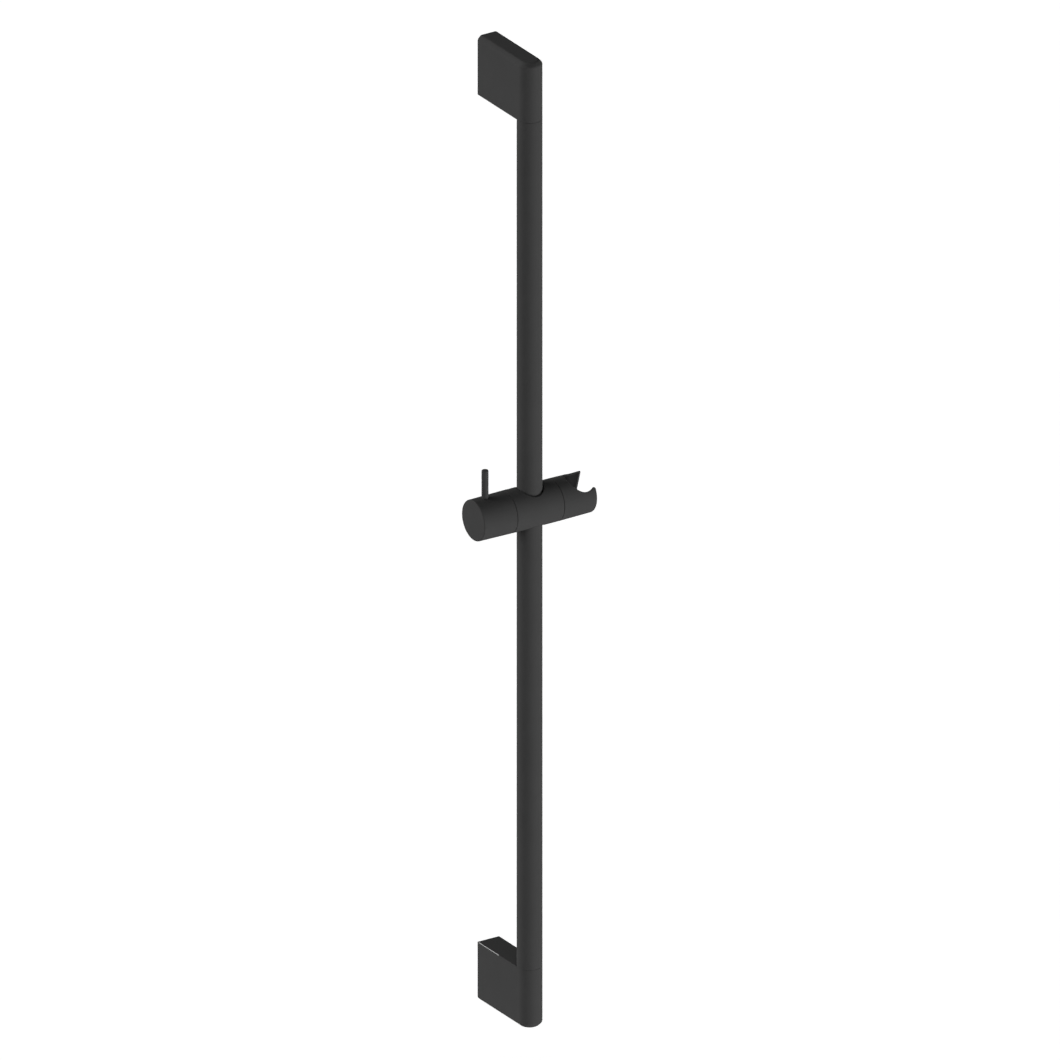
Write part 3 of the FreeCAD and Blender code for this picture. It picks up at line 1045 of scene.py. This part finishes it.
@dataclass
class ClampKnob:
    """Knob that clamps the slider, with its lever and spindle."""

    sizes: SliderSizes
    collar_recess_end: float = 24.9 * MM
    neck_bore: float = 12.08 * MM
    neck_bore_end: float = 30.1 * MM
    shaft_bore: float = 5.05 * MM
    shaft_bore_end: float = 50.0 * MM
    lever_place: float = 45.0 * MM
    lever_hole: float = 3.04 * MM
    lever_hole_round: float = 0.3 * MM
    lever_radius: float = 3.0 * MM
    lever_foot: float = 4.35 * MM
    lever_tip: float = 44.4 * MM
    lever_tip_round: float = 0.7 * MM
    lever_segments: int = 64
    corner_steps: int = 6

    def shape(self, points: np.ndarray) -> Field:
        """The knob about the slider's middle.

        Args:
            points: Where it is wanted.

        Returns:
            The knob with all its edges round.
        """
        fine = self.sizes.inner_round
        foot = (-self.sizes.seam, 0.0, 0.0)
        knob = taper(points, foot, LEFT, self.sizes.radius, self.sizes.slope())
        knob = knob.common(behind(points, (-self.sizes.end, 0.0, 0.0), LEFT), self.sizes.end_round)
        knob = knob.common(behind(points, foot, RIGHT), self.sizes.seam_round)
        for radius, end in (
            (self.sizes.recess_radius, self.collar_recess_end),
            (self.neck_bore, self.neck_bore_end),
            (self.shaft_bore, self.shaft_bore_end),
        ):
            knob = knob.minus(bar(points, radius, -end, 0.0, fine), fine)
        hole = taper(points, (-self.lever_place, 0.0, 0.0), UP, self.lever_hole)
        hole = hole.common(behind(points, MIDDLE, DOWN), fine)
        return knob.minus(hole, self.lever_hole_round)

    def build(self, wardrobe: Wardrobe) -> None:
        """Builds the knob and its lever and dresses the spindle.

        Args:
            wardrobe: The finishes.
        """
        sizes = self.sizes
        span = (-sizes.end, -sizes.seam)
        knob = sizes.net_piece("clamp_round_knob", self.shape, span, sizes.radius, sizes.net_step)
        profile = [
            (0.0, self.lever_foot, 0.0),
            (self.lever_radius, self.lever_foot, 0.0),
            (self.lever_radius, self.lever_tip, self.lever_tip_round),
            (0.0, self.lever_tip, 0.0),
        ]
        place = Matrix.Translation(Vector(sizes.place) - Vector((self.lever_place, 0.0, 0.0)))
        lever = lathe(rounded_profile(profile, self.corner_steps), self.lever_segments, place)
        wardrobe.stand_in(knob, "clamp_knob", "knob")
        wardrobe.stand_in(new_piece("clamp_lever_pin", lever), "lever_pin", "knob")
        wardrobe.dress_nodes("brass", "clamp_spindle")


@dataclass
class HandsetHolder:
    """Tilting holder with its conical seat, and the screw that it turns on."""

    sizes: SliderSizes
    seat_place: float = 47.75 * MM
    seat_radius: float = 12.4 * MM
    seat_half_angle_deg: float = 2.5
    seat_lean_deg: float = 19.7
    seat_set_back: float = 1.0 * MM
    lip_round: float = 1.8 * MM
    # Darker tones painted on the seat's wall, as painted shade in the recess.
    shade_band_depth: float = 0.03 * MM
    painted_shade_dark: Colour = grey(0.017)
    painted_shade_light: Colour = grey(0.021)
    washer_recess_end: float = 24.6 * MM
    stub_bore: float = 8.06 * MM
    stub_bore_end: float = 28.8 * MM
    screw_bore: float = 3.3 * MM
    head_bore: float = 5.5 * MM
    head_floor: float = 30.1 * MM
    head_bore_round: float = 0.3 * MM
    screw_tip: float = 13.5 * MM
    screw_radius: float = 3.0 * MM
    screw_head_front: float = 30.9 * MM
    screw_head_back: float = 34.5 * MM
    screw_head_radius: float = 5.0 * MM
    screw_head_round: float = 0.45 * MM
    socket_sides: int = 6
    socket_half: float = 2.0 * MM
    socket_depth: float = 2.2 * MM
    socket_round: float = 0.15 * MM

    def seat_axis(self) -> Direction:
        """Direction of the seat, upwards."""
        lean = math.radians(self.seat_lean_deg)
        return (0.0, -math.sin(lean), math.cos(lean))

    def seat_foot(self) -> Direction:
        """Point on the seat's axis where it has its radius, about the slider's middle."""
        _, across, upward = self.seat_axis()
        return (self.seat_place, upward * self.seat_set_back, -across * self.seat_set_back)

    def seat_slope(self) -> float:
        """How much the seat's radius grows for each metre along its axis."""
        return math.tan(math.radians(self.seat_half_angle_deg))

    def coat_with_painted_seat_shade(self) -> Finish:
        """The black coat, with painted shade on the wall of the seat."""
        seat_shade = PaintedSeatShade(
            start=tuple(Vector(self.sizes.place) + Vector(self.seat_foot())),
            axis=self.seat_axis(),
            dark=self.painted_shade_dark,
            light=self.painted_shade_light,
            radius=self.seat_radius,
            slope=self.seat_slope(),
            depth=self.shade_band_depth,
        )
        return replace(BLACK_COAT, name="Matt black coat with painted shade in the seat", patch=seat_shade)

    def shape(self, points: np.ndarray) -> Field:
        """The holder about the slider's middle.

        Args:
            points: Where it is wanted.

        Returns:
            The holder with round lips and rims.
        """
        fine = self.sizes.inner_round
        foot = (self.sizes.seam, 0.0, 0.0)
        seat = taper(points, self.seat_foot(), self.seat_axis(), self.seat_radius, self.seat_slope())
        arms = behind(points, (self.sizes.end, 0.0, 0.0), RIGHT).minus(seat, self.lip_round)
        holder = taper(points, foot, RIGHT, self.sizes.radius, self.sizes.slope())
        holder = holder.common(arms, self.sizes.end_round)
        holder = holder.common(behind(points, foot, LEFT), self.sizes.seam_round)
        for radius, end in (
            (self.sizes.recess_radius, self.washer_recess_end),
            (self.stub_bore, self.stub_bore_end),
            (self.screw_bore, self.seat_place),
        ):
            holder = holder.minus(bar(points, radius, 0.0, end, fine), fine)
        head_bore = bar(points, self.head_bore, self.head_floor, self.seat_place, fine)
        return holder.minus(head_bore, self.head_bore_round)

    def screw(self, points: np.ndarray) -> Field:
        """Cap screw of the pivot.

        Args:
            points: Where it is wanted.

        Returns:
            The screw with its key socket.
        """
        back = self.screw_head_back
        shank = bar(points, self.screw_radius, self.screw_tip, back, self.screw_head_round)
        head = bar(points, self.screw_head_radius, self.screw_head_front, back, self.screw_head_round)
        socket = behind(points, (back - self.socket_depth, 0.0, 0.0), LEFT)
        for side in range(self.socket_sides):
            angle = math.pi * (2 * side + 1) / self.socket_sides
            outward = (0.0, math.cos(angle), math.sin(angle))
            place = tuple(self.socket_half * way for way in outward)
            socket = socket.common(behind(points, place, outward), 0.0)
        return shank.plus(head, self.socket_round).minus(socket, self.socket_round)

    def build(self, wardrobe: Wardrobe) -> None:
        """Builds the holder with painted shade in its seat and its screw, and dresses the spring washer.

        Args:
            wardrobe: The finishes.
        """
        sizes = self.sizes
        span = (sizes.seam, sizes.end)
        holder = sizes.net_piece("holder_round_block", self.shape, span, sizes.radius, sizes.net_step)
        # The holder's coat carries the painted shade in the seat.
        wardrobe.add("coat_with_painted_seat_shade", self.coat_with_painted_seat_shade())
        wardrobe.stand_in(holder, "handset_holder", "holder", finish="coat_with_painted_seat_shade")
        span = (self.screw_tip, self.screw_head_back)
        step = sizes.screw_net_step
        screw = sizes.net_piece("holder_cap_screw", self.screw, span, self.screw_head_radius, step)
        wardrobe.stand_in(screw, "holder_pivot_screw", "slider", slot="steel")
        wardrobe.dress_nodes("steel", "holder_spring_washer")


@dataclass
class Lamp:
    """Large soft lamp, far off."""

    name: str
    towards: Direction
    strength: float
    spread_deg: float

    def build(self) -> None:
        """Places the lamp so that it shines from its side."""
        light = bpy.data.lights.new(self.name, "SUN")
        light.energy = self.strength
        light.angle = math.radians(self.spread_deg)
        lamp = new_object(self.name, light)
        lamp.rotation_euler = Vector(self.towards).to_track_quat("Z", "Y").to_euler()


@dataclass
class Studio:
    """Pale floor, white surround, soft lamps and the camera."""

    floor_height: float = -0.56
    floor_half: float = 3.0
    floor_white: float = 0.58
    floor_colour: float = 0.8
    surround_white: float = 1.0
    ambient: float = 0.09
    azimuth_deg: float = -32.567
    elevation_deg: float = 24.17
    frame_width: float = 0.90205
    aim: Direction = (-4.18 * MM, -72.25 * MM, 14.67 * MM)
    camera_distance: float = 3.0
    lamps: tuple[Lamp, ...] = (
        Lamp("Low front lamp", (0.462, -0.816, -0.347), strength=3.413, spread_deg=30.0),
        Lamp("Left back lamp", (-0.731, 0.597, 0.33), strength=3.375, spread_deg=40.0),
        Lamp("Right back lamp", (0.771, 0.542, -0.333), strength=2.279, spread_deg=40.0),
        Lamp("High front lamp", (-0.434, -0.696, 0.572), strength=0.652, spread_deg=40.0),
    )

    def build(self) -> None:
        """Builds the studio and points the camera."""
        self._world()
        self._floor()
        for lamp in self.lamps:
            lamp.build()
        self._camera()
        bpy.context.scene.view_settings.view_transform = "Standard"

    @staticmethod
    def _seen(shader: ShaderTree) -> Socket:
        """One for rays that show the background: from the camera, by reflection or through glass."""
        path = shader.add("ShaderNodeLightPath")
        shiny = shader.math("MAXIMUM", path.outputs["Is Glossy Ray"], path.outputs["Is Transmission Ray"])
        return shader.math("MAXIMUM", path.outputs["Is Camera Ray"], shiny)

    def _world(self) -> None:
        """White where it is seen, and a low even light on the object."""
        world = bpy.data.worlds.new("Studio surround")
        world.use_nodes = True
        world.node_tree.nodes.clear()
        shader = ShaderTree(world.node_tree)
        even = shader.add("ShaderNodeBackground", {"Color": WHITE, "Strength": self.ambient})
        white = shader.add("ShaderNodeBackground", {"Color": WHITE, "Strength": self.surround_white})
        shares = {0: self._seen(shader), 1: even.outputs[0], 2: white.outputs[0]}
        both = shader.add("ShaderNodeMixShader", shares)
        shader.add("ShaderNodeOutputWorld", {"Surface": both.outputs[0]})
        bpy.context.scene.world = world

    def _floor(self) -> None:
        """Pale floor, nearly white by itself, that takes a shadow and is clear from below."""
        shape = bmesh.new()
        bmesh.ops.create_grid(shape, x_segments=1, y_segments=1, size=self.floor_half)
        bmesh.ops.translate(shape, vec=(0.0, 0.0, self.floor_height), verts=shape.verts)
        floor = new_piece("studio_floor", shape)
        material, shader = new_material("Pale floor")
        matt = shader.add("ShaderNodeBsdfDiffuse", {"Color": grey(self.floor_colour)})
        level = shader.math("MULTIPLY", self._seen(shader), self.floor_white)
        glow = shader.add("ShaderNodeEmission", {"Strength": level})
        lit = shader.add("ShaderNodeAddShader", {0: matt.outputs[0], 1: glow.outputs[0]})
        clear = shader.add("ShaderNodeBsdfTransparent")
        below = shader.add("ShaderNodeNewGeometry").outputs["Backfacing"]
        surface = shader.add("ShaderNodeMixShader", {0: below, 1: lit.outputs[0], 2: clear.outputs[0]})
        shader.add("ShaderNodeOutputMaterial", {"Surface": surface.outputs[0]})
        floor.data.materials.append(material)
        floor.visible_shadow = False

    def _camera(self) -> None:
        """Camera far off, without perspective, at the photograph's angle."""
        azimuth = math.radians(self.azimuth_deg)
        elevation = math.radians(self.elevation_deg)
        level = math.cos(elevation)
        towards = Vector((math.sin(azimuth) * level, -math.cos(azimuth) * level, math.sin(elevation)))
        data = bpy.data.cameras.new("Photograph camera")
        data.type = "ORTHO"
        data.ortho_scale = self.frame_width
        camera = new_object("Photograph camera", data)
        camera.location = Vector(self.aim) + towards * self.camera_distance
        camera.rotation_euler = towards.to_track_quat("Z", "Y").to_euler()
        bpy.context.scene.camera = camera


def main() -> None:
    """Builds every sub-assembly in order and then the studio."""
    logging.basicConfig(level=logging.INFO, format="%(name)s: %(message)s")
    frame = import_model()
    wardrobe = Wardrobe(frame)
    sizes = SliderSizes()
    Rail().build(wardrobe)
    for end in RailEnd:
        # The lower bracket's coat carries the painted edge highlight.
        WallBracket(end, finish="coat_with_painted_highlight" if end is RailEnd.LOWER else "black_coat").build(wardrobe)
    SliderBody(sizes).build(wardrobe)
    ClampKnob(sizes).build(wardrobe)
    HandsetHolder(sizes).build(wardrobe)
    Studio().build()


if __name__ == "__main__":
    main()
